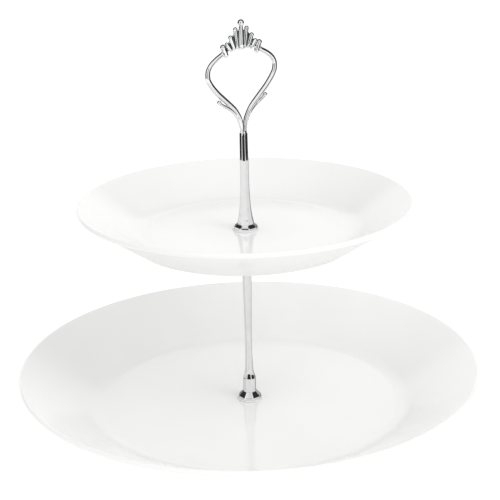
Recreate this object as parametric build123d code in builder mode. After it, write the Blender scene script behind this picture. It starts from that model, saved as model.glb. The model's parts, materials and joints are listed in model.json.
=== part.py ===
from build123d import *

import os

# Two-tier serving stand: two coupe plates clamped on a screwed centre column with a crown handle.
# Millimetres, +Z up. The origin is on the table under the column's axis. The loop of the handle lies in
# the XZ plane.

# ---- driving dimensions ----
LOWER_RADIUS = 135.0
LOWER_RIM = 34.6  # top of the lip above the table
LOWER_FLOOR = 10.0  # top face of the flat floor
LOWER_FLOOR_RADIUS = 91.5
LOWER_UNDER = 5.8  # underside of the floor inside the foot ring
LOWER_FOOT_RADIUS = 80.0
LOWER_HEEL = (92.0, 4.6)  # radius and height of the outside corner between side and underside

UPPER_RADIUS = 95.5
UPPER_RIM = 133.9
UPPER_FLOOR = 116.2
UPPER_FLOOR_RADIUS = 63.0
UPPER_UNDER = 112.2
UPPER_FOOT_RADIUS = 55.0
UPPER_HEEL = (64.6, 110.8)
UPPER_FOOT = 109.4  # lowest point of the upper plate's foot ring

LIP = 3.0  # thickness of the wall at the lip, which is fully rounded
FOOT_WIDTH = 4.0
PLATE_HOLE = 3.5
FLOOR_BEND = 22.0  # inner radius between the floor and the flared side
HEEL_BEND = 7.0  # the same on the outside, above the foot ring

SOFT_WASHER = 0.8
STEEL_WASHER = 1.0
SOFT_WASHER_RADIUS = 7.5
STEEL_WASHER_RADIUS = 7.0
WASHER_HOLE = 2.2

M4 = 2.0  # thread radii, drawn as plain cylinders
M25 = 1.25
THREAD_GAP = 0.05  # radial room between a thread and its bore
POST_THREAD = 8.0  # depth of thread that holds the two posts together
SCREW_THREAD = 9.2
HANDLE_THREAD = 6.0

SIDES = 8  # the posts are octagons
FOOT_HALF = 6.7  # half width across the flats at a post's foot
FOOT_EDGE = 1.3  # height of the steep edge round a foot
FOOT_TAPER = 0.42  # how far that edge leans in
FOOT_NECK = 4.5  # half width where a low foot meets its shaft

SCREW_HEAD_RADIUS = 4.5
SCREW_HEAD = 2.2
RECESS_LENGTH = 4.6
RECESS_WIDTH = 1.0
RECESS_DEPTH = 1.3

COLUMN_TOP = 172.6  # rim of the upper post
PLUG = 6.0  # depth of the handle's plug in the upper post
PLUG_RADIUS = 1.9
HANDLE_TOP = 235.5
WIRE = 1.5
TENDRIL = 0.85

# ---- heights that follow from them ----
MIDDLE_SEAT = LOWER_FLOOR + SOFT_WASHER
MIDDLE_TOP = UPPER_UNDER - SOFT_WASHER
UPPER_SEAT = UPPER_FLOOR + SOFT_WASHER
STEEL_TOP = LOWER_UNDER - SOFT_WASHER
SCREW_SEAT = STEEL_TOP - STEEL_WASHER

os.makedirs("parts", exist_ok=True)


def write(solid, name):
    solid.label = name
    export_step(solid, f"parts/{name}.step")
    print(f"{name}: {len(solid.solids())} solid, {solid.volume:.1f} mm3, valid {solid.is_valid}")


def plate(radius, rim, floor, floor_radius, heel, under, foot_radius, foot):
    """A coupe plate: flat floor, flared side with a round lip, foot ring, drilled centre.

    heel is the corner between the side and the underside, and foot the height that the ring stands at.
    """
    half = LIP / 2
    lip_centre = Vector(radius - half, rim - half)
    inner_way = (lip_centre - Vector(floor_radius, floor + half)).normalized()
    inner_lip = lip_centre + Vector(-inner_way.Y, inner_way.X) * half
    outer_way = (lip_centre - Vector(heel[0], heel[1] + half)).normalized()
    outer_lip = lip_centre + Vector(outer_way.Y, -outer_way.X) * half
    crest = lip_centre + (inner_way + outer_way).normalized() * half
    with BuildPart() as dish:
        with BuildSketch(Plane.XZ):
            with BuildLine():
                FilletPolyline(
                    (PLATE_HOLE, floor), (floor_radius, floor), (inner_lip.X, inner_lip.Y), radius=FLOOR_BEND
                )
                ThreePointArc((inner_lip.X, inner_lip.Y), (crest.X, crest.Y), (outer_lip.X, outer_lip.Y))
                FilletPolyline((outer_lip.X, outer_lip.Y), heel, (foot_radius, heel[1]), radius=HEEL_BEND)
                Polyline(
                    (foot_radius, heel[1]),
                    (foot_radius - 0.6, foot),
                    (foot_radius - FOOT_WIDTH + 0.6, foot),
                    (foot_radius - FOOT_WIDTH, under),
                    (PLATE_HOLE, under),
                    (PLATE_HOLE, floor),
                )
            make_face()
        revolve(axis=Axis.Z)
        arcs = dish.edges().filter_by(GeomType.CIRCLE)
        chamfer(arcs.filter_by(lambda edge: abs(edge.radius - PLATE_HOLE) < 0.01), 0.3)
        fillet(dish.edges().filter_by_position(Axis.Z, foot, foot), 0.5)
    return dish.part


def washer(bottom, thickness, radius):
    with BuildPart() as ring:
        with BuildSketch(Plane.XY.offset(bottom)):
            Circle(radius)
            Circle(WASHER_HOLE, mode=Mode.SUBTRACT)
        extrude(amount=thickness)
        arcs = ring.edges().filter_by(GeomType.CIRCLE)
        chamfer(arcs.filter_by(lambda edge: edge.radius > WASHER_HOLE), thickness / 5)
    return ring.part


def stud(bottom, top, radius):
    with BuildPart() as rod:
        with BuildSketch(Plane.XY.offset(bottom)):
            Circle(radius)
        extrude(amount=top - bottom)
        chamfer(rod.edges().filter_by(GeomType.CIRCLE), 0.3)
    return rod.part


def foot(seat, way):
    """Stations of the steep edge round a post's foot. way is +1 if the shaft stands above it, -1 if below."""
    return [(seat, FOOT_HALF), (seat + FOOT_EDGE * way, FOOT_HALF - FOOT_TAPER)]


def post(stations, bores):
    """A cast octagonal post with bores on its axis.

    stations are (height, half width across flats). bores are (bottom, top, radius).
    """
    with BuildPart() as casting:
        for height, half in stations:
            with BuildSketch(Plane.XY.offset(height)):
                RegularPolygon(half, SIDES, major_radius=False, rotation=180 / SIDES)
        loft(ruled=True)
        for bottom, top, radius in bores:
            with BuildSketch(Plane.XY.offset(bottom)):
                Circle(radius)
            extrude(amount=top - bottom, mode=Mode.SUBTRACT)
    return casting.part


# ---- plates ----
lower_plate = plate(
    LOWER_RADIUS,
    LOWER_RIM,
    LOWER_FLOOR,
    LOWER_FLOOR_RADIUS,
    LOWER_HEEL,
    LOWER_UNDER,
    LOWER_FOOT_RADIUS,
    0.0,
)
write(lower_plate, "lower_plate")

upper_plate = plate(
    UPPER_RADIUS,
    UPPER_RIM,
    UPPER_FLOOR,
    UPPER_FLOOR_RADIUS,
    UPPER_HEEL,
    UPPER_UNDER,
    UPPER_FOOT_RADIUS,
    UPPER_FOOT,
)
write(upper_plate, "upper_plate")

# ---- washers ----
write(washer(LOWER_FLOOR, SOFT_WASHER, SOFT_WASHER_RADIUS), "lower_plate_top_washer")
write(washer(STEEL_TOP, SOFT_WASHER, SOFT_WASHER_RADIUS), "lower_plate_bottom_washer")
write(washer(MIDDLE_TOP, SOFT_WASHER, SOFT_WASHER_RADIUS), "upper_plate_bottom_washer")
write(washer(UPPER_FLOOR, SOFT_WASHER, SOFT_WASHER_RADIUS), "upper_plate_top_washer")
write(washer(SCREW_SEAT, STEEL_WASHER, STEEL_WASHER_RADIUS), "base_metal_washer")

# ---- middle post: collar at the foot, slim neck, flare under the upper plate ----
middle_post = post(
    stations=[
        *foot(MIDDLE_SEAT, 1),
        (MIDDLE_SEAT + 4.1, 3.65),
        (MIDDLE_SEAT + 12.4, 3.65),
        (MIDDLE_SEAT + 15.4, 2.7),
        (MIDDLE_SEAT + 18.8, 2.25),
        (MIDDLE_SEAT + 27.0, 1.92),
        (MIDDLE_SEAT + 37.0, 1.92),
        (MIDDLE_SEAT + 50.0, 2.05),
        (MIDDLE_TOP - 24.8, 2.55),
        (MIDDLE_TOP - 18.4, 3.0),
        (MIDDLE_TOP - 10.4, 3.8),
        (MIDDLE_TOP - 2.3, FOOT_NECK),
        *foot(MIDDLE_TOP, -1)[::-1],
    ],
    bores=[
        (MIDDLE_SEAT, MIDDLE_SEAT + SCREW_THREAD + 1.0, M4 + THREAD_GAP),
        (MIDDLE_TOP - POST_THREAD - 1.0, MIDDLE_TOP, M4 + THREAD_GAP),
    ],
)
write(middle_post, "middle_post")

# ---- upper post: low foot, long taper, rim that takes the handle ----
UPPER_BORE = UPPER_SEAT + POST_THREAD
PLUG_SEAT = COLUMN_TOP - PLUG
upper_post = post(
    stations=[
        *foot(UPPER_SEAT, 1),
        (UPPER_SEAT + 2.7, FOOT_NECK),
        (UPPER_SEAT + 4.4, 4.35),
        (UPPER_SEAT + 7.0, 3.8),
        (UPPER_SEAT + 12.3, 3.1),
        (UPPER_SEAT + 16.7, 2.75),
        (UPPER_SEAT + 22.6, 2.5),
        (UPPER_SEAT + 40.0, 2.38),
        (COLUMN_TOP, 2.25),
    ],
    bores=[
        (UPPER_SEAT, UPPER_BORE, M4 + THREAD_GAP),
        (PLUG_SEAT, COLUMN_TOP, PLUG_RADIUS + THREAD_GAP),
        (PLUG_SEAT - HANDLE_THREAD - 1.0, PLUG_SEAT, M25 + THREAD_GAP),
    ],
)
write(upper_post, "upper_post")

# ---- studs: one in the foot of the upper post, one in the plug of the handle ----
write(stud(MIDDLE_TOP - POST_THREAD, UPPER_BORE, M4), "centre_stud")
PLUG_BORE = COLUMN_TOP - 0.6
write(stud(PLUG_SEAT - HANDLE_THREAD, PLUG_BORE, M25), "handle_stud")

# ---- base screw: low round head with a cross recess ----
with BuildPart() as base_screw:
    with BuildSketch(Plane.XY.offset(SCREW_SEAT)):
        Circle(SCREW_HEAD_RADIUS)
    extrude(amount=-SCREW_HEAD)
    fillet(base_screw.edges().filter_by(GeomType.CIRCLE).sort_by(Axis.Z)[0], SCREW_HEAD * 0.7)
    with BuildSketch(Plane.XY.offset(SCREW_SEAT)):
        Circle(M4)
    extrude(amount=MIDDLE_SEAT + SCREW_THREAD - SCREW_SEAT)
    chamfer(base_screw.edges().filter_by(GeomType.CIRCLE).sort_by(Axis.Z)[-1], 0.3)
    with BuildSketch(Plane.XY.offset(SCREW_SEAT - SCREW_HEAD)):
        Rectangle(RECESS_LENGTH, RECESS_WIDTH)
        Rectangle(RECESS_WIDTH, RECESS_LENGTH)
    extrude(amount=RECESS_DEPTH, mode=Mode.SUBTRACT)
write(base_screw.part, "base_screw")

# ---- crown handle: one casting. Half of the loop and one tendril are drawn, then mirrored ----
LOOP_CORNERS = [
    (0.75, COLUMN_TOP + 0.1),
    (1.35, 182.9),
    (23.6, 204.0),
    (23.6, 213.0),
    (8.0, 220.6),
    (0, 220.6),
]
LOOP_BENDS = [13, 10.3, 6.8, 17]
TENDRIL_CORNERS = [(1.9, 176.5), (4.4, 184.6), (10.6, 189.9), (16.2, 192.0)]
TENDRIL_BENDS = [9, 9]
TENDRIL_BALL = 1.25

# the fan on top: foot and tip of each rib on one side, then the radius of the ball on its tip
CENTRE_BALL = 1.85
RIBS = [
    ((0, 220.6), (0, HANDLE_TOP - CENTRE_BALL), CENTRE_BALL),
    ((2.4, 220.4), (3.9, 230.4), 1.25),
    ((4.6, 220.1), (7.4, 226.3), 1.3),
    ((6.8, 219.6), (10.0, 223.0), 1.15),
    ((10.9, 218.2), (12.6, 221.7), 1.6),
]
RIB_THICKNESS = 0.72  # share of its ball's radius that a rib has
WEB_THICKNESS = 1.0
WEB_FOOT = 220.0  # height of the web's lower edge
WEB_BEND = 8.0  # how far out that edge runs before it drops to the last rib
PLUG_COVER = 0.8  # how far the plug stands over the post's rim


def in_loop(point):
    """A point of the handle's own plane, (across, up), in space."""
    return Vector(point[0], 0, point[1])


with BuildPart() as crown_handle:
    for corners, bends, radius in [(LOOP_CORNERS, LOOP_BENDS, WIRE), (TENDRIL_CORNERS, TENDRIL_BENDS, TENDRIL)]:
        with BuildLine() as path:
            FilletPolyline(*[in_loop(corner) for corner in corners], radius=bends)
        with BuildSketch(Plane(origin=path.line @ 0, z_dir=path.line % 0)):
            Circle(radius)
        sweep()
    with Locations(in_loop(TENDRIL_CORNERS[-1])):
        Sphere(TENDRIL_BALL)
    for foot, tip, ball in RIBS:
        rise = in_loop(tip) - in_loop(foot)
        with BuildSketch(Plane(origin=in_loop(foot), z_dir=rise)):
            Circle(ball * RIB_THICKNESS)
        extrude(amount=rise.length)
        with Locations(in_loop(tip)):
            Sphere(ball)
    with BuildSketch(Plane.XZ):
        with BuildLine():
            tips = [tip for _, tip, _ in RIBS]
            Polyline((0, WEB_FOOT), *tips, RIBS[-1][0], (WEB_BEND, WEB_FOOT), (0, WEB_FOOT))
        make_face()
    extrude(amount=WEB_THICKNESS / 2, both=True)
    split(bisect_by=Plane.YZ, keep=Keep.TOP)
    mirror(about=Plane.YZ)
    with BuildSketch(Plane.XY.offset(PLUG_SEAT)):
        Circle(PLUG_RADIUS)
    extrude(amount=PLUG + PLUG_COVER)
    with BuildSketch(Plane.XY.offset(PLUG_SEAT)):
        Circle(M25 + THREAD_GAP)
    extrude(amount=PLUG_BORE - PLUG_SEAT, mode=Mode.SUBTRACT)
write(crown_handle.part, "crown_handle")
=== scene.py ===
import json
import math

import bmesh
import bpy
from mathutils import Matrix, Vector

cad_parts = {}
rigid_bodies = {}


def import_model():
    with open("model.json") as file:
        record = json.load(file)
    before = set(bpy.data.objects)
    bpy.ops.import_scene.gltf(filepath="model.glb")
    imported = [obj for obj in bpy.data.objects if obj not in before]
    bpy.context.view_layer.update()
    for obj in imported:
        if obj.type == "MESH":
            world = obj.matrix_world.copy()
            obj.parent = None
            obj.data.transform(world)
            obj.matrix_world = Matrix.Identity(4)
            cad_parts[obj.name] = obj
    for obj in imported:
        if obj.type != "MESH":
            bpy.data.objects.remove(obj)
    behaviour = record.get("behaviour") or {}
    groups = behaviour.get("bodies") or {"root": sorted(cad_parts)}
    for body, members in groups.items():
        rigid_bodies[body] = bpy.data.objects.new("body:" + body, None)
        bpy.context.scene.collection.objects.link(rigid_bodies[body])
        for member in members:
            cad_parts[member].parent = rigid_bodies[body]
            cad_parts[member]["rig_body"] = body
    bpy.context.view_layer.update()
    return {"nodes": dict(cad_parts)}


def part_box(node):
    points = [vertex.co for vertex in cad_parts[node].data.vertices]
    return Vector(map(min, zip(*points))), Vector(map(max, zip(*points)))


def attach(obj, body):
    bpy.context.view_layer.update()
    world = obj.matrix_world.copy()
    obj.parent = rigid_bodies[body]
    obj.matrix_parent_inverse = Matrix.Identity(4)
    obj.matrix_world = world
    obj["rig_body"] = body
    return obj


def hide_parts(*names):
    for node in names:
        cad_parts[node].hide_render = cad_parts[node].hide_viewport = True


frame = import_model()
MM = 0.001
TURN = 2 * math.pi
SCENE = bpy.context.scene


# ---------------------------------------------------------------- heights and radii, read from the model
def top_mm(node):
    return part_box(node)[1].z / MM


def foot_mm(node):
    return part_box(node)[0].z / MM


def radius_mm(node):
    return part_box(node)[1].x / MM


# ---------------------------------------------------------------- node tree helpers
def new_tree(name, numbers):
    """A geometry tree with named number inputs, a Material input, and geometry in and out."""
    tree = bpy.data.node_groups.new(name, "GeometryNodeTree")
    tree.interface.new_socket("Geometry", in_out="INPUT", socket_type="NodeSocketGeometry")
    for label, value in numbers.items():
        kind = "NodeSocketInt" if isinstance(value, int) else "NodeSocketFloat"
        tree.interface.new_socket(label, in_out="INPUT", socket_type=kind).default_value = value
    tree.interface.new_socket("Material", in_out="INPUT", socket_type="NodeSocketMaterial")
    tree.interface.new_socket("Geometry", in_out="OUTPUT", socket_type="NodeSocketGeometry")
    return tree, tree.nodes.new("NodeGroupInput").outputs, tree.nodes.new("NodeGroupOutput").inputs[0]


def add(tree, kind, *values, output=0, **settings):
    """Adds a node, wires or sets its inputs in order, and returns one of its outputs. None skips an input."""
    node = tree.nodes.new(kind)
    for key, value in settings.items():
        setattr(node, key, value)
    for socket, value in zip([s for s in node.inputs if s.enabled], values):
        if isinstance(value, bpy.types.NodeSocket):
            tree.links.new(value, socket)
        elif value is not None:
            socket.default_value = value
    return [s for s in node.outputs if s.enabled][output]


def sum_up(tree, operation, *values):
    return add(tree, "ShaderNodeMath", *values, operation=operation)


def grown(piece, tree, material, **numbers):
    """Runs a tree on a piece, keeps the result as its plain mesh, and takes the modifier off."""
    modifier = piece.modifiers.new(tree.name, "NODES")
    modifier.node_group = tree
    for item in tree.interface.items_tree:
        if item.in_out == "INPUT" and item.name == "Material":
            modifier[item.identifier] = material
        elif item.in_out == "INPUT" and item.name in numbers:
            modifier[item.identifier] = numbers[item.name]
    return settled(piece)


def settled(piece):
    """Makes what a piece's modifiers give its own mesh."""
    SCENE.view_layers[0].update()
    graph = bpy.context.evaluated_depsgraph_get()
    mesh = bpy.data.meshes.new_from_object(piece.evaluated_get(graph))
    piece.modifiers.clear()
    piece.data = mesh
    return piece


def closed_up(piece, sharp_degrees=35):
    """Merges doubles, turns faces outwards and shades the piece smooth apart from its sharp edges."""
    shape = bmesh.new()
    shape.from_mesh(piece.data)
    bmesh.ops.remove_doubles(shape, verts=shape.verts, dist=0.002 * MM)
    bmesh.ops.dissolve_degenerate(shape, edges=shape.edges, dist=0.001 * MM)
    bmesh.ops.recalc_face_normals(shape, faces=shape.faces)
    shape.to_mesh(piece.data)
    shape.free()
    piece.data.shade_smooth()
    piece.data.set_sharp_from_angle(angle=math.radians(sharp_degrees))
    return piece


def line_piece(name, points, edges=None, **weights):
    """A piece that is only points and edges, in mm, with a number per point under each weight's name."""
    mesh = bpy.data.meshes.new(name)
    if edges is None:
        edges = [(i, i + 1) for i in range(len(points) - 1)]
    mesh.from_pydata([Vector(p) * MM for p in points], edges, [])
    for label, numbers in weights.items():
        mesh.attributes.new(label, "FLOAT", "POINT").data.foreach_set("value", numbers)
    piece = bpy.data.objects.new(name, mesh)
    SCENE.collection.objects.link(piece)
    return piece


# ---------------------------------------------------------------- turned pieces
THREAD_DEPTH = 0.6  # of a thread's pitch
CORNER_LIMIT = 1.062  # a faceted ring's corners stand out this many times its half width, and no more
CORNER_SOFTNESS = 0.03


def turned_tree():
    """Turns a profile in the XZ plane round Z. Its facet and thread weights bend each ring off the round."""
    sizes = {"Steps": 96, "Sides": 8, "Pitch": 0.7 * MM}
    tree, given, result = new_tree("turned", sizes)
    around = sum_up(tree, "ADD", given["Steps"], 1.0)
    rows = add(tree, "GeometryNodeAttributeDomainSize", given["Geometry"])
    grid = add(tree, "GeometryNodeMeshGrid", 1.0, 1.0, rows, around)
    index = add(tree, "GeometryNodeInputIndex")
    row = sum_up(tree, "FLOOR", sum_up(tree, "DIVIDE", index, around))
    column = sum_up(tree, "SUBTRACT", index, sum_up(tree, "MULTIPLY", row, around))
    angle = sum_up(tree, "DIVIDE", sum_up(tree, "MULTIPLY", column, TURN), given["Steps"])

    side = sum_up(tree, "DIVIDE", TURN, given["Sides"])
    half_side = sum_up(tree, "MULTIPLY", side, 0.5)
    offset = sum_up(tree, "FLOORED_MODULO", sum_up(tree, "ADD", angle, half_side), side)
    offset = sum_up(tree, "SUBTRACT", offset, half_side)
    flat = sum_up(tree, "DIVIDE", 1.0, sum_up(tree, "COSINE", offset))
    flat = sum_up(tree, "SUBTRACT", sum_up(tree, "SMOOTH_MIN", flat, CORNER_LIMIT, CORNER_SOFTNESS), 1.0)

    def of_row(value, data_type):
        settings = {"data_type": data_type, "domain": "POINT"}
        return add(tree, "GeometryNodeSampleIndex", given["Geometry"], value, row, **settings)

    def weight(label):
        return of_row(add(tree, "GeometryNodeInputNamedAttribute", label, data_type="FLOAT"), "FLOAT")

    place = of_row(add(tree, "GeometryNodeInputPosition"), "FLOAT_VECTOR")
    radius = add(tree, "ShaderNodeSeparateXYZ", place, output=0)
    height = add(tree, "ShaderNodeSeparateXYZ", place, output=2)
    swell = sum_up(tree, "MULTIPLY_ADD", weight("facet"), flat, 1.0)
    radius = sum_up(tree, "MULTIPLY", radius, swell)

    turns = sum_up(tree, "DIVIDE", height, given["Pitch"])
    turns = sum_up(tree, "SUBTRACT", turns, sum_up(tree, "DIVIDE", angle, TURN))
    groove = sum_up(tree, "MULTIPLY", sum_up(tree, "PINGPONG", turns, 0.5), THREAD_DEPTH * 2)
    groove = sum_up(tree, "MULTIPLY", groove, given["Pitch"])
    radius = sum_up(tree, "SUBTRACT", radius, sum_up(tree, "MULTIPLY", weight("thread"), groove))
    east = sum_up(tree, "MULTIPLY", radius, sum_up(tree, "COSINE", angle))
    north = sum_up(tree, "MULTIPLY", radius, sum_up(tree, "SINE", angle))
    spot = add(tree, "ShaderNodeCombineXYZ", east, north, height)
    made = add(tree, "GeometryNodeSetPosition", grid, None, spot)
    made = add(tree, "GeometryNodeMergeByDistance", made, None, 0.002 * MM)
    made = add(tree, "GeometryNodeSetMaterial", made, None, given["Material"])
    tree.links.new(made, result)
    return tree


TURNED = turned_tree()


def rounded(corners, steps=5):
    """Points along a profile of (radius, height, bend) corners, each bend a true arc."""
    places = [Vector((c[0], c[1])) for c in corners]
    points = [places[0]]
    for before, here, after, corner in zip(places, places[1:], places[2:], corners[1:]):
        bend = corner[2] if len(corner) > 2 else 0
        way_in, way_out = (here - before).normalized(), (after - here).normalized()
        turn = way_in.angle(way_out, 0)
        if not bend or turn < 0.01:
            points.append(here)
            continue
        run = bend * math.tan(turn / 2)
        start, end = here - way_in * run, here + way_out * run
        centre = here + (way_out - way_in).normalized() * (bend / math.cos(turn / 2))
        swing = (start - centre).angle_signed(end - centre)
        for i in range(steps + 1):
            spoke = (start - centre).copy()
            spoke.rotate(Matrix.Rotation(-swing * i / steps, 2))
            points.append(centre + spoke)
        points[-1] = end
    return points + [places[-1]]


def turned(name, profile, node, material, steps=96, facet=None, thread=None, pitch=0.7):
    """A piece turned from a profile in mm, in place of a CAD node and riding on that node's body."""
    outline = [(p[0], 0, p[1]) for p in profile]
    plain = [0] * len(outline)
    piece = line_piece(name, outline, facet=facet or plain, thread=thread or plain)
    closed_up(grown(piece, TURNED, material, Steps=steps, Pitch=pitch * MM))
    return fitted(piece, node)


def fitted(piece, node):
    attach(piece, frame["nodes"][node]["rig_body"])
    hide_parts(node)
    return piece


def eased(p, q, r, s, t):
    """A number a share t of the way from q to r, on a smooth curve that also heeds p before and s after."""
    bow = (2 * p - 5 * q + 4 * r - s) * t**2
    sway = (3 * (q - r) + s - p) * t**3
    return 0.5 * (2 * q + (r - p) * t + bow + sway)


def flowing(points, steps=6):
    """A smooth line through points with any count of numbers, as a Catmull-Rom curve."""
    ends = [points[0]] + list(points) + [points[-1]]
    line = []
    for a, b, c, d in zip(ends, ends[1:], ends[2:], ends[3:]):
        for i in range(steps):
            line.append(tuple(eased(p, q, r, s, i / steps) for p, q, r, s in zip(a, b, c, d)))
    return line + [tuple(points[-1])]


# ---------------------------------------------------------------- finishes
def new_finish(name, **shader):
    """A node material with its shader's own sockets set."""
    material = bpy.data.materials.new(name)
    material.use_nodes = True
    tree = material.node_tree
    bsdf = tree.nodes["Principled BSDF"]
    for label, value in shader.items():
        bsdf.inputs[label.replace("_", " ")].default_value = value
    return material, tree, bsdf


def noise(tree, scale, detail=2.0, stretch=(1, 1, 1)):
    """Noise fixed to the piece, with scale in cells per metre."""
    place = add(tree, "ShaderNodeTexCoord", output=3)
    place = add(tree, "ShaderNodeMapping", place, None, None, stretch)
    node = tree.nodes.new("ShaderNodeTexNoise")
    tree.links.new(place, node.inputs["Vector"])
    node.inputs["Scale"].default_value = scale
    node.inputs["Detail"].default_value = detail
    return node.outputs["Fac"]


def ranged(tree, value, low, high):
    return add(tree, "ShaderNodeMapRange", value, 0.3, 0.7, low, high)


def tinted(tree, value, first, second):
    ramp = tree.nodes.new("ShaderNodeValToRGB")
    ramp.color_ramp.elements[0].color = (*first, 1)
    ramp.color_ramp.elements[1].color = (*second, 1)
    ramp.color_ramp.elements[0].position = 0.35
    ramp.color_ramp.elements[1].position = 0.65
    tree.links.new(value, ramp.inputs[0])
    return ramp.outputs[0]


def bumped(tree, bsdf, value, depth_mm, strength=1.0):
    tree.links.new(add(tree, "ShaderNodeBump", strength, depth_mm * MM, None, value), bsdf.inputs["Normal"])


def porcelain_glaze():
    """Thick clear glaze on white body: mirror-smooth, with the faint swell of a fired surface."""
    material, tree, bsdf = new_finish("porcelain_glaze", Specular_IOR_Level=0.3)
    white = tinted(tree, noise(tree, 14, 3), (0.86, 0.858, 0.85), (0.885, 0.885, 0.88))
    tree.links.new(white, bsdf.inputs["Base Color"])
    tree.links.new(ranged(tree, noise(tree, 60), 0.08, 0.13), bsdf.inputs["Roughness"])
    bumped(tree, bsdf, noise(tree, 45, 1), 0.05, 0.5)
    return material


def bare_porcelain():
    """The unglazed foot ring: chalky, a little warm, with fine grit."""
    material, tree, bsdf = new_finish("bare_porcelain", Roughness=0.8)
    chalk = tinted(tree, noise(tree, 900, 4), (0.7, 0.68, 0.64), (0.8, 0.78, 0.74))
    tree.links.new(chalk, bsdf.inputs["Base Color"])
    bumped(tree, bsdf, noise(tree, 2500, 3), 0.04)
    return material


def chrome_plate():
    """Bright plating over a casting, with the slight unevenness of polished zinc under it."""
    material, tree, bsdf = new_finish("chrome_plate", Metallic=1.0, Specular_Tint=(0.1, 0.1, 0.1, 1))
    silver = tinted(tree, noise(tree, 300), (0.83, 0.835, 0.84), (0.865, 0.87, 0.875))
    tree.links.new(silver, bsdf.inputs["Base Color"])
    tree.links.new(ranged(tree, noise(tree, 700), 0.02, 0.06), bsdf.inputs["Roughness"])
    bumped(tree, bsdf, noise(tree, 220, 1), 0.01, 0.3)
    return material


def zinc_plate():
    """Dull bright zinc on turned steel, with fine turning marks round the axis."""
    material, tree, bsdf = new_finish("zinc_plate", Metallic=1.0)
    marks = noise(tree, 500, 3, (0.3, 0.3, 12))
    tree.links.new(tinted(tree, marks, (0.55, 0.56, 0.58), (0.68, 0.69, 0.71)), bsdf.inputs["Base Color"])
    tree.links.new(ranged(tree, marks, 0.22, 0.4), bsdf.inputs["Roughness"])
    bumped(tree, bsdf, marks, 0.01)
    return material


def clear_plastic():
    """Soft colourless plastic of a washer, cloudy enough to look milky on white."""
    colour = (0.97, 0.975, 0.975, 1)
    material, tree, bsdf = new_finish("clear_plastic", Base_Color=colour, IOR=1.42, Alpha=0.85)
    tree.links.new(ranged(tree, noise(tree, 800), 0.12, 0.28), bsdf.inputs["Roughness"])
    bumped(tree, bsdf, noise(tree, 600), 0.02)
    return material


GLAZE = porcelain_glaze()
BARE = bare_porcelain()
CHROME = chrome_plate()
ZINC = zinc_plate()
CLEAR = clear_plastic()


# ---------------------------------------------------------------- plates
LIP = 3.0  # wall thickness at the lip, in mm
HOLE = 3.5
PLATE_STEPS = 288


def plate(name, node, floor, floor_radius, heel, under, foot_radius):
    """A coupe plate. floor, heel and under are heights above its foot ring, in mm."""
    foot, rim, radius = foot_mm(node), top_mm(node), radius_mm(node)
    half = LIP / 2
    centre = Vector((radius - half, rim - half))
    inner = (centre - Vector((floor_radius, foot + floor + half))).normalized()
    outer = (centre - Vector((heel[0], foot + heel[1] + half))).normalized()
    inner_lip = centre + Vector((-inner.y, inner.x)) * half
    outer_lip = centre + Vector((outer.y, -outer.x)) * half
    first, last = math.atan2(inner.x, -inner.y), math.atan2(-outer.x, outer.y)
    lip = [
        centre + Vector((math.cos(angle), math.sin(angle))) * half
        for angle in (first + (last - first) * i / 12 for i in range(1, 12))
    ]
    inside = rounded(
        [
            (HOLE, foot + floor - 0.8),
            (HOLE, foot + floor, 0.35),
            (floor_radius, foot + floor, 22),
            (*inner_lip,),
        ],
        12,
    )
    outside = rounded(
        [
            (*outer_lip,),
            (heel[0], foot + heel[1], 7),
            (foot_radius, foot + heel[1], 0.5),
            (foot_radius - 0.6, foot, 0.6),
            (foot_radius - 3.4, foot, 0.6),
            (foot_radius - 4.0, foot + under, 1.2),
            (HOLE, foot + under, 0.35),
            (HOLE, foot + under + 0.8),
            (HOLE, foot + floor - 0.8),
        ],
        8,
    )
    piece = turned(name, inside + lip + outside, node, GLAZE, PLATE_STEPS)
    piece.data.materials.append(BARE)
    for face in piece.data.polygons:
        if face.center.z < (foot + 0.25) * MM:
            face.material_index = 1
    return piece


plate(
    "lower_plate_glazed",
    "lower_plate",
    floor=10.0,
    floor_radius=91.5,
    heel=(92.0, 4.6),
    under=5.8,
    foot_radius=80,
)
plate(
    "upper_plate_glazed",
    "upper_plate",
    floor=6.8,
    floor_radius=63.0,
    heel=(64.6, 1.4),
    under=2.8,
    foot_radius=55,
)


# ---------------------------------------------------------------- washers
WASHER_HOLE = 2.2


def washer(node, material, bend):
    """A flat ring whose four edges are rounded by bend, in mm."""
    low, high, radius = foot_mm(node), top_mm(node), radius_mm(node)
    middle = (low + high) / 2
    ring = [
        (WASHER_HOLE, middle),
        (WASHER_HOLE, low, bend),
        (radius, low, bend),
        (radius, high, bend),
        (WASHER_HOLE, high, bend),
        (WASHER_HOLE, middle),
    ]
    return turned(node + "_ring", rounded(ring, 4), node, material, 96)


for tier in ("lower", "upper"):
    for face in ("top", "bottom"):
        washer(f"{tier}_plate_{face}_washer", CLEAR, 0.25)
washer("base_metal_washer", ZINC, 0.15)


# ---------------------------------------------------------------- cast posts
FOOT_RADIUS = radius_mm("upper_post")  # half width across the flats at a post's foot
FOOT_EDGE = 1.3  # height of the steep edge round the foot
FOOT_TAPER = 0.42  # how far the edge leans in over that height
FACET = 0.92  # flatness of the cast flats, which are a little crowned
M4_BORE = 2.05  # radii of the bores
M25_BORE = 1.3
PLUG_BORE = 1.95
PLUG = 6.0  # depth of the handle's plug, from the upper post's rim
BASE_SCREW_BORE = 10.2  # depths of the threaded bores
MIDDLE_STUD_BORE = 9.0
UPPER_STUD_BORE = 8.0
HANDLE_STUD_BORE = 7.0
RIM_HALF = 2.22  # half width of the upper post just under its rim
MIDDLE_SEAT = foot_mm("middle_post")
MIDDLE_TOP = top_mm("middle_post")
UPPER_SEAT = foot_mm("upper_post")
COLUMN_TOP = top_mm("upper_post")


def bore_mouth(seat, way):
    """Profile of a post's bore mouth and the flat it stands on, for a post that stands way up from seat."""
    corners = [(M4_BORE, seat + 0.5 * way), (M4_BORE, seat, 0.2), (FOOT_RADIUS - 0.3, seat)]
    return rounded(corners, 3)


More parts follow.
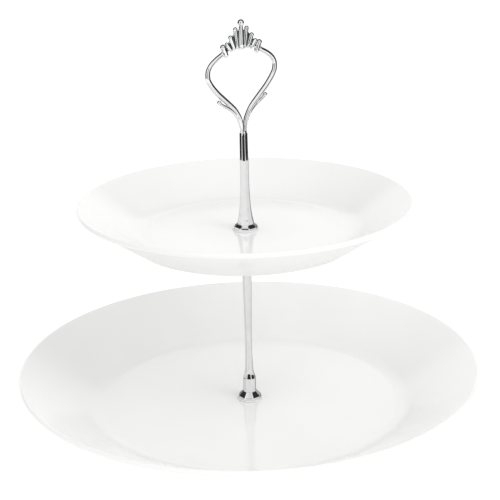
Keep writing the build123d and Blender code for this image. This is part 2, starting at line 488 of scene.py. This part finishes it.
def bore_end(height, radius):
    """Profile of a bore's flat end, from the axis out to its wall."""
    return [(0, height), (radius, height)]


def foot(seat, way, neck, rise):
    """The faceted foot: a steep edge, then a cone in to the neck, rise mm above the seat."""
    corners = [
        (FOOT_RADIUS - 0.3, seat),
        (FOOT_RADIUS, seat, 0.12),
        (FOOT_RADIUS - FOOT_TAPER, seat + FOOT_EDGE * way, 0.12),
        (neck, seat + rise * way, 0.3),
        (neck, seat + (rise + 0.8) * way),
    ]
    return rounded(corners, 3)


def cast_post(name, node, start, shaft, end):
    """A cast post. start and end are the plain ends of its profile, and shaft is the faceted run between."""
    profile = start + shaft + end
    facet = [0] * len(start) + [FACET] * len(shaft) + [0] * len(end)
    return turned(name, profile, node, CHROME, 192, facet)


middle_shaft = (
    foot(MIDDLE_SEAT, 1, 3.65, 4.1)
    + flowing(
        [
            (3.65, MIDDLE_SEAT + 6),
            (3.65, MIDDLE_SEAT + 12.0),
            (3.58, MIDDLE_SEAT + 12.7),
            (3.2, MIDDLE_SEAT + 13.8),
            (2.7, MIDDLE_SEAT + 15.3),
            (2.42, MIDDLE_SEAT + 16.7),
            (2.25, MIDDLE_SEAT + 18.8),
            (2.1, MIDDLE_SEAT + 22.6),
            (1.92, MIDDLE_SEAT + 27),
            (1.92, MIDDLE_SEAT + 37),
            (2.05, MIDDLE_SEAT + 50),
            (2.25, MIDDLE_SEAT + 62),
            (2.55, MIDDLE_TOP - 24.8),
            (3.0, MIDDLE_TOP - 18.4),
            (3.8, MIDDLE_TOP - 10.4),
            (4.4, MIDDLE_TOP - 5.4),
        ],
        3,
    )
    + foot(MIDDLE_TOP, -1, 4.5, 2.3)[::-1]
)
cast_post(
    "middle_post_casting",
    "middle_post",
    bore_end(MIDDLE_SEAT + BASE_SCREW_BORE, M4_BORE) + bore_mouth(MIDDLE_SEAT, 1),
    middle_shaft,
    bore_mouth(MIDDLE_TOP, -1)[::-1] + bore_end(MIDDLE_TOP - MIDDLE_STUD_BORE, M4_BORE)[::-1],
)

upper_shaft = foot(UPPER_SEAT, 1, 4.5, 2.7) + flowing(
    [
        (4.35, UPPER_SEAT + 4.4),
        (3.8, UPPER_SEAT + 7),
        (3.45, UPPER_SEAT + 9.5),
        (3.1, UPPER_SEAT + 12.3),
        (2.75, UPPER_SEAT + 16.7),
        (2.5, UPPER_SEAT + 22.6),
        (2.4, UPPER_SEAT + 30),
        (2.38, UPPER_SEAT + 40),
        (2.3, COLUMN_TOP - 8),
        (RIM_HALF, COLUMN_TOP - 0.3),
    ],
    4,
)
upper_rim = rounded(
    [
        (RIM_HALF, COLUMN_TOP - 0.3),
        (2.2, COLUMN_TOP, 0.12),
        (PLUG_BORE, COLUMN_TOP, 0.1),
        (PLUG_BORE, COLUMN_TOP - 1),
    ],
    3,
)
plug_seat = COLUMN_TOP - PLUG
cast_post(
    "upper_post_casting",
    "upper_post",
    bore_end(UPPER_SEAT + UPPER_STUD_BORE, M4_BORE) + bore_mouth(UPPER_SEAT, 1),
    upper_shaft,
    upper_rim[1:]
    + [(PLUG_BORE, plug_seat), (M25_BORE, plug_seat)]
    + bore_end(plug_seat - HANDLE_STUD_BORE, M25_BORE)[::-1],
)


# ---------------------------------------------------------------- threads
def threaded(radius, low, high, pitch):
    """Profile and thread weights of a threaded rod from low to high, with both ends chamfered."""
    rows = round((high - low) / pitch * 8)
    profile = [(radius, low + (high - low) * i / rows) for i in range(1, rows)]
    weights = [min(i, rows - i, 4) / 4 for i in range(1, rows)]
    lead = radius - 0.4
    return [(0, low), (lead, low)] + profile + [(lead, high), (0, high)], [0, 0] + weights + [0, 0]


def stud(node, pitch):
    profile, thread = threaded(radius_mm(node), foot_mm(node), top_mm(node), pitch)
    return turned(node + "_threaded", profile, node, ZINC, 48, thread=thread, pitch=pitch)


M4_PITCH = 0.7
M25_PITCH = 0.45
stud("centre_stud", M4_PITCH)
stud("handle_stud", M25_PITCH)


# ---------------------------------------------------------------- base screw
SCREW_RADIUS = 2.0
DOME_RADIUS = 3.0  # where the head's flat middle would meet its side if it weren't rounded
RECESS_DEPTH = 1.2
RECESS_LENGTH = 3.8
RECESS_WIDTH = 0.9


def cross_cutter(low, deep, length, width):
    """A tapered cross that points up into a screw's head from below."""
    arm, half = length / 2, width / 2
    quarter = [(arm, -half), (arm, half), (half, half)]
    cross = list(quarter)
    for _ in range(3):
        quarter = [(-y, x) for x, y in quarter]
        cross += quarter
    shape = bmesh.new()
    ends = [
        [shape.verts.new(Vector((x * share, y * share, height)) * MM) for x, y in cross]
        for share, height in ((1.05, low - 0.2), (0.7, low + deep))
    ]
    shape.faces.new(ends[0][::-1])
    shape.faces.new(ends[1])
    for i, corner in enumerate(ends[0]):
        after = (i + 1) % len(cross)
        shape.faces.new([corner, ends[0][after], ends[1][after], ends[1][i]])
    bmesh.ops.recalc_face_normals(shape, faces=shape.faces)
    mesh = bpy.data.meshes.new("cross_cutter")
    shape.to_mesh(mesh)
    shape.free()
    cutter = bpy.data.objects.new("cross_cutter", mesh)
    SCENE.collection.objects.link(cutter)
    return cutter


def base_screw():
    """A domed cross-recess screw. Its head is below and its threaded shank points up."""
    node = "base_screw"
    low, high, seat = foot_mm(node), top_mm(node), foot_mm("base_metal_washer")
    radius = radius_mm(node)
    corners = [
        (0, low),
        (DOME_RADIUS, low, 5),
        (radius, low + 1.5, 0.5),
        (radius, seat, 0.25),
        (SCREW_RADIUS, seat),
    ]
    head = rounded(corners, 8)
    rod, thread = threaded(SCREW_RADIUS, seat, high, M4_PITCH)
    outline = head + rod[2:]
    weights = [0] * len(head) + thread[2:]
    piece = turned("base_screw_turned", outline, node, ZINC, 64, thread=weights, pitch=M4_PITCH)
    cutter = cross_cutter(low, RECESS_DEPTH, RECESS_LENGTH, RECESS_WIDTH)
    recess = piece.modifiers.new("recess", "BOOLEAN")
    recess.operation = "DIFFERENCE"
    recess.solver = "EXACT"
    recess.object = cutter
    settled(piece)
    bpy.data.objects.remove(cutter)
    closed_up(piece)


base_screw()


# ---------------------------------------------------------------- crown handle
def casting_tree():
    """Round rods along every line of a piece, by its thickness, and a ball on every point that has one."""
    tree, given, result = new_tree("casting", {"Sides": 20})
    thickness = add(tree, "GeometryNodeInputNamedAttribute", "thickness", data_type="FLOAT")
    ball = add(tree, "GeometryNodeInputNamedAttribute", "ball", data_type="FLOAT")
    lines = add(tree, "GeometryNodeMeshToCurve", given["Geometry"])
    ring = add(tree, "GeometryNodeCurvePrimitiveCircle", given["Sides"])
    rods = add(tree, "GeometryNodeCurveToMesh", lines, ring, thickness, True)
    has_ball = add(tree, "FunctionNodeCompare", ball, 0.0, operation="GREATER_THAN")
    sphere = add(tree, "GeometryNodeMeshUVSphere", given["Sides"], 12, 1.0)
    sizes = add(tree, "ShaderNodeCombineXYZ", ball, ball, ball)
    balls = add(tree, "GeometryNodeInstanceOnPoints", given["Geometry"], has_ball, sphere)
    balls.node.inputs["Scale"].default_value = (1, 1, 1)
    tree.links.new(sizes, balls.node.inputs["Scale"])
    join = tree.nodes.new("GeometryNodeJoinGeometry")
    for part in (rods, add(tree, "GeometryNodeRealizeInstances", balls)):
        tree.links.new(part, join.inputs[0])
    tree.links.new(add(tree, "GeometryNodeSetMaterial", join.outputs[0], None, given["Material"]), result)
    return tree


CASTING = casting_tree()


def both_ways(strands):
    """Strands of (across, up, thickness, ball) points, and the same strands mirrored."""
    return strands + [[(-across, *rest) for across, *rest in strand] for strand in strands]


def rods(name, strands):
    """Strands in the handle's plane, made round. Every number is in mm."""
    points, edges, thickness, ball = [], [], [], []
    for strand in strands:
        edges += [(len(points) + i, len(points) + i + 1) for i in range(len(strand) - 1)]
        points += [(across, 0, up) for across, up, *_ in strand]
        thickness += [p[2] * MM for p in strand]
        ball += [p[3] * MM for p in strand]
    return grown(line_piece(name, points, edges, thickness=thickness, ball=ball), CASTING, CHROME)


def with_balls(line, first=0.0, last=0.0):
    """A line of (across, up, thickness) with a ball of its own size on its first and last points."""
    balls = [first] + [0.0] * (len(line) - 2) + [last]
    return [(*point, ball) for point, ball in zip(line, balls)]


def part_way(start, end, share):
    """A point a share of the way along a straight line."""
    return tuple(a + (b - a) * share for a, b in zip(start, end))


def slab(name, outline, half):
    """A flat plate in the handle's plane, half mm thick on each side of it."""
    shape = bmesh.new()
    face = shape.faces.new([shape.verts.new(Vector((across, -half, up)) * MM) for across, up in outline])
    more = bmesh.ops.extrude_face_region(shape, geom=[face])["geom"]
    verts = [item for item in more if isinstance(item, bmesh.types.BMVert)]
    bmesh.ops.translate(shape, vec=(0, 2 * half * MM, 0), verts=verts)
    bmesh.ops.recalc_face_normals(shape, faces=shape.faces)
    mesh = bpy.data.meshes.new(name)
    shape.to_mesh(mesh)
    shape.free()
    return bpy.data.objects.new(name, mesh)


def joined(name, pieces):
    shape = bmesh.new()
    for piece in pieces:
        shape.from_mesh(piece.data)
        bpy.data.objects.remove(piece)
    mesh = bpy.data.meshes.new(name)
    shape.to_mesh(mesh)
    shape.free()
    whole = bpy.data.objects.new(name, mesh)
    SCENE.collection.objects.link(whole)
    return whole


def fused(piece, voxel_mm, rounds):
    """Melts a piece's overlapping solids into one skin, like a casting, and softens its corners."""
    melt = piece.modifiers.new("melt", "REMESH")
    melt.mode = "VOXEL"
    melt.voxel_size = voxel_mm * MM
    soften = piece.modifiers.new("soften", "SMOOTH")
    soften.factor = 0.5
    soften.iterations = rounds
    settled(piece).data.shade_smooth()
    piece.data.materials.clear()
    piece.data.materials.append(CHROME)
    return piece


HANDLE_TOP = top_mm("crown_handle")
PLUG_RADIUS = 1.9

# one side of the loop from the post's rim up to the crown: across, up, half thickness
loop_side = flowing(
    [
        (0.85, COLUMN_TOP + 0.1, 1.12),
        (1.0, 176, 1.12),
        (1.5, 179, 1.18),
        (2.6, 182, 1.28),
        (5.6, 186.5, 1.4),
        (9.2, 190, 1.45),
        (13.6, 193.9, 1.5),
        (16.9, 196.9, 1.5),
        (19.6, 199.8, 1.5),
        (21.8, 202.6, 1.48),
        (23.2, 205.2, 1.42),
        (23.6, 207.6, 1.36),
        (23.3, 209.9, 1.34),
        (22.0, 212.2, 1.32),
        (19.9, 214.2, 1.3),
        (17.0, 216.1, 1.26),
        (13.3, 218.0, 1.2),
    ],
    4,
)
crown_rail = flowing([(13.3, 217.9, 1.0), (9.5, 219.9, 0.75), (5, 221.1, 0.65), (0, 221.5, 0.6)], 4)
tendril = flowing(
    [
        (1.6, 175.5, 0.8),
        (3.2, 180.4, 0.9),
        (5.3, 183.8, 0.95),
        (8.2, 186.6, 0.95),
        (11.6, 188.8, 0.9),
        (14.4, 190.4, 0.85),
        (16.3, 192.0, 0.8),
    ],
    4,
)

# ribs of the crown on one side: root, tip, half thickness at the root, radius of the ball on the tip
RIBS = [
    ((2.5, 220.3), (3.9, 230.4), 0.95, 1.25),
    ((4.7, 220.0), (7.4, 226.3), 0.95, 1.3),
    ((7.0, 219.4), (10.0, 223.0), 0.9, 1.15),
]
centre_ball = 1.85
centre_rib = [
    (0, 220.0, 1.2, 0.0),
    (0, 222.0, 1.5, 0.0),
    (0, 228.0, 1.4, 0.0),
    (0, 230.6, 1.15, 0.0),
    (0, HANDLE_TOP - centre_ball, 0.9, centre_ball),
]
finger = flowing([(10.8, 217.5, 1.4), (11.4, 219.1, 1.5), (12.2, 220.8, 1.5), (12.7, 221.7, 1.45)], 4)
side_strands = [
    with_balls(loop_side, 0, 1.32),
    with_balls(crown_rail),
    with_balls(tendril, 0, 1.25),
    with_balls(finger, 1.45, 1.6),
]
for root, tip, half, ball in RIBS:
    between = part_way(root, tip, 0.8)
    side_strands.append([(*root, half, half * 0.9), (*between, ball * 0.95, 0.0), (*tip, ball * 0.95, ball)])
side_strands.append([(1.0, 219.9, 0.5, 0.85), (0.2, 220.6, 0.5, 0.0)])


# a thin web fills the fan between the ribs, up to a share of each
WEB_SHARE = 0.9
WEB_HALF = 0.42
web_side = [(11.6, 220.6)] + [part_way(root, tip, WEB_SHARE) for root, tip, _, _ in RIBS[::-1]]
web_foot = [(10.9, 218.8), (5, 220.6)]
web = web_foot[:1] + web_side + [(0, 230)] + [(-u, z) for u, z in web_side[::-1] + web_foot] + web_foot[1:]
plug = line_piece(
    "plug",
    [
        (0, 0, COLUMN_TOP - 0.6),
        (M25_BORE, 0, COLUMN_TOP - 0.6),
        (M25_BORE, 0, COLUMN_TOP - PLUG),
        (PLUG_RADIUS, 0, COLUMN_TOP - PLUG),
        (PLUG_RADIUS, 0, COLUMN_TOP + 0.9),
        (0, 0, COLUMN_TOP + 1.6),
    ],
)
CAST_GRAIN = 0.18  # mm, the smallest detail that the casting holds
SOFTENING = 4  # rounds of smoothing on its corners
strands = rods("strands", both_ways(side_strands) + [centre_rib])
round_plug = grown(plug, TURNED, CHROME, Steps=64)
handle = joined("crown_handle_casting", [strands, slab("web", web, WEB_HALF), round_plug])
fused(handle, CAST_GRAIN, SOFTENING)
fitted(handle, "crown_handle")


# ---------------------------------------------------------------- floor, light and camera
VIEW_ANGLE = -128.7  # compass angle from the stand to the camera, in degrees
VIEW_RISE = 18.9


def around(azimuth, elevation, distance, height=0.1):
    """A place in m at a compass angle, elevation and distance from a point over the origin."""
    turn, rise = math.radians(azimuth), math.radians(elevation)
    out = Vector((math.cos(turn) * math.cos(rise), math.sin(turn) * math.cos(rise), math.sin(rise)))
    return Vector((0, 0, height)) + out * distance


def pale_table():
    """A white table that reaches far behind the stand and ends a little way in front of it."""
    material, _, shader = new_finish("pale_table", Roughness=0.9, Base_Color=(0.3, 0.3, 0.3, 1))
    shader.inputs["Emission Color"].default_value = (1, 1, 1, 1)
    shader.inputs["Emission Strength"].default_value = 0.82
    shape = bmesh.new()
    bmesh.ops.create_grid(shape, x_segments=1, y_segments=1, size=0.5)
    front, back, width = -0.5, 0.9, 1.2
    place = Matrix.Rotation(math.radians(VIEW_ANGLE - 180), 4, "Z")
    place = place @ Matrix.Translation(((front + back) / 2, 0, 0))
    place = place @ Matrix.Diagonal((back - front, width, 1, 1))
    bmesh.ops.transform(shape, matrix=place, verts=shape.verts)
    mesh = bpy.data.meshes.new("table")
    shape.to_mesh(mesh)
    shape.free()
    table = bpy.data.objects.new("table", mesh)
    table.data.materials.append(material)
    SCENE.collection.objects.link(table)


def softbox(name, azimuth, elevation, distance, width, watts):
    """A square lamp that lights the stand but isn't mirrored in it."""
    lamp = bpy.data.lights.new(name, "AREA")
    lamp.shape = "SQUARE"
    lamp.size = width
    lamp.energy = watts
    piece = bpy.data.objects.new(name, lamp)
    piece.location = around(azimuth, elevation, distance)
    piece.rotation_euler = (piece.location - around(0, 0, 0)).to_track_quat("Z", "Y").to_euler()
    piece.visible_glossy = False
    SCENE.collection.objects.link(piece)


# dark parts of the studio that only polished metal and glaze mirror: compass angle from the camera's own,
# elevation, and half width and half height, all in degrees
DARK_PARTS = [
    (-3, 4, 13, 30),
    (103, 48, 18, 12),
    (74, 6, 6, 12),
    (-97, 0, 6, 14),
]
ROOM_LIGHT = 1.0
SEEN_LIGHT = 1.1  # what the camera itself sees of the surround
DARKNESS = 0.97  # share of the room's light that a dark part takes away
RING_SOFTNESS = 0.06
DARK_RING = (63, 130)  # degrees away from the camera's direction, where no panel stands


def studio():
    """An even white surround, with the dark gaps between its panels left for reflections."""
    world = bpy.data.worlds.new("studio")
    world.use_nodes = True
    tree = world.node_tree
    way = add(tree, "ShaderNodeTexCoord", output=0)
    east, north, up = (add(tree, "ShaderNodeSeparateXYZ", way, output=i) for i in range(3))
    elevation = sum_up(tree, "ARCSINE", up)
    azimuth = sum_up(tree, "ARCTAN2", north, east)
    light = None
    for turn, rise, wide, tall in DARK_PARTS:
        middle = math.radians(turn + VIEW_ANGLE)
        aside = sum_up(tree, "WRAP", sum_up(tree, "SUBTRACT", azimuth, middle), math.pi, -math.pi)
        above = sum_up(tree, "SUBTRACT", elevation, math.radians(rise))
        across = sum_up(tree, "DIVIDE", aside, math.radians(wide))
        along = sum_up(tree, "DIVIDE", above, math.radians(tall))
        far = sum_up(tree, "ADD", sum_up(tree, "POWER", across, 4.0), sum_up(tree, "POWER", along, 4.0))
        part = add(tree, "ShaderNodeMapRange", far, 0.8, 1.4, 0.0, 1.0)
        light = part if light is None else sum_up(tree, "MULTIPLY", light, part)
    to_camera = around(VIEW_ANGLE, VIEW_RISE, 1, 0)
    facing = add(tree, "ShaderNodeVectorMath", way, to_camera, operation="DOT_PRODUCT", output=0)
    first, last = (math.cos(math.radians(angle)) for angle in DARK_RING)
    aside = sum_up(tree, "ABSOLUTE", sum_up(tree, "SUBTRACT", facing, (first + last) / 2))
    edge = (first - last) / 2
    ring = add(tree, "ShaderNodeMapRange", aside, edge - RING_SOFTNESS, edge + RING_SOFTNESS, 0.0, 1.0)
    light = sum_up(tree, "MULTIPLY", light, ring)
    mirrored = add(tree, "ShaderNodeLightPath", output=3)
    seen = add(tree, "ShaderNodeLightPath", output=0)
    dark = sum_up(tree, "MULTIPLY", sum_up(tree, "SUBTRACT", 1.0, light), mirrored)
    strength = sum_up(tree, "MULTIPLY_ADD", dark, -ROOM_LIGHT * DARKNESS, ROOM_LIGHT)
    strength = sum_up(tree, "MAXIMUM", strength, sum_up(tree, "MULTIPLY", seen, SEEN_LIGHT))
    background = tree.nodes["Background"]
    background.inputs[0].default_value = (1, 1, 1, 1)
    tree.links.new(strength, background.inputs[1])
    return world


pale_table()
SCENE.world = studio()
SCENE.view_settings.view_transform = "Standard"
softbox("key_softbox", -74, 40, 1.6, 0.8, 5.5)

lens = bpy.data.cameras.new("camera")
lens.lens = 87.8
lens.sensor_width = 36
lens.clip_start = 0.01
camera = bpy.data.objects.new("camera", lens)
camera.location = (-0.4155, -0.5187, 0.3305)
heading, pitch, roll = (math.radians(angle) for angle in (-38.88, 71.14, -1.34))
look = Matrix.Rotation(heading, 4, "Z") @ Matrix.Rotation(pitch, 4, "X") @ Matrix.Rotation(roll, 4, "Z")
camera.rotation_euler = look.to_euler()
SCENE.collection.objects.link(camera)
SCENE.camera = camera
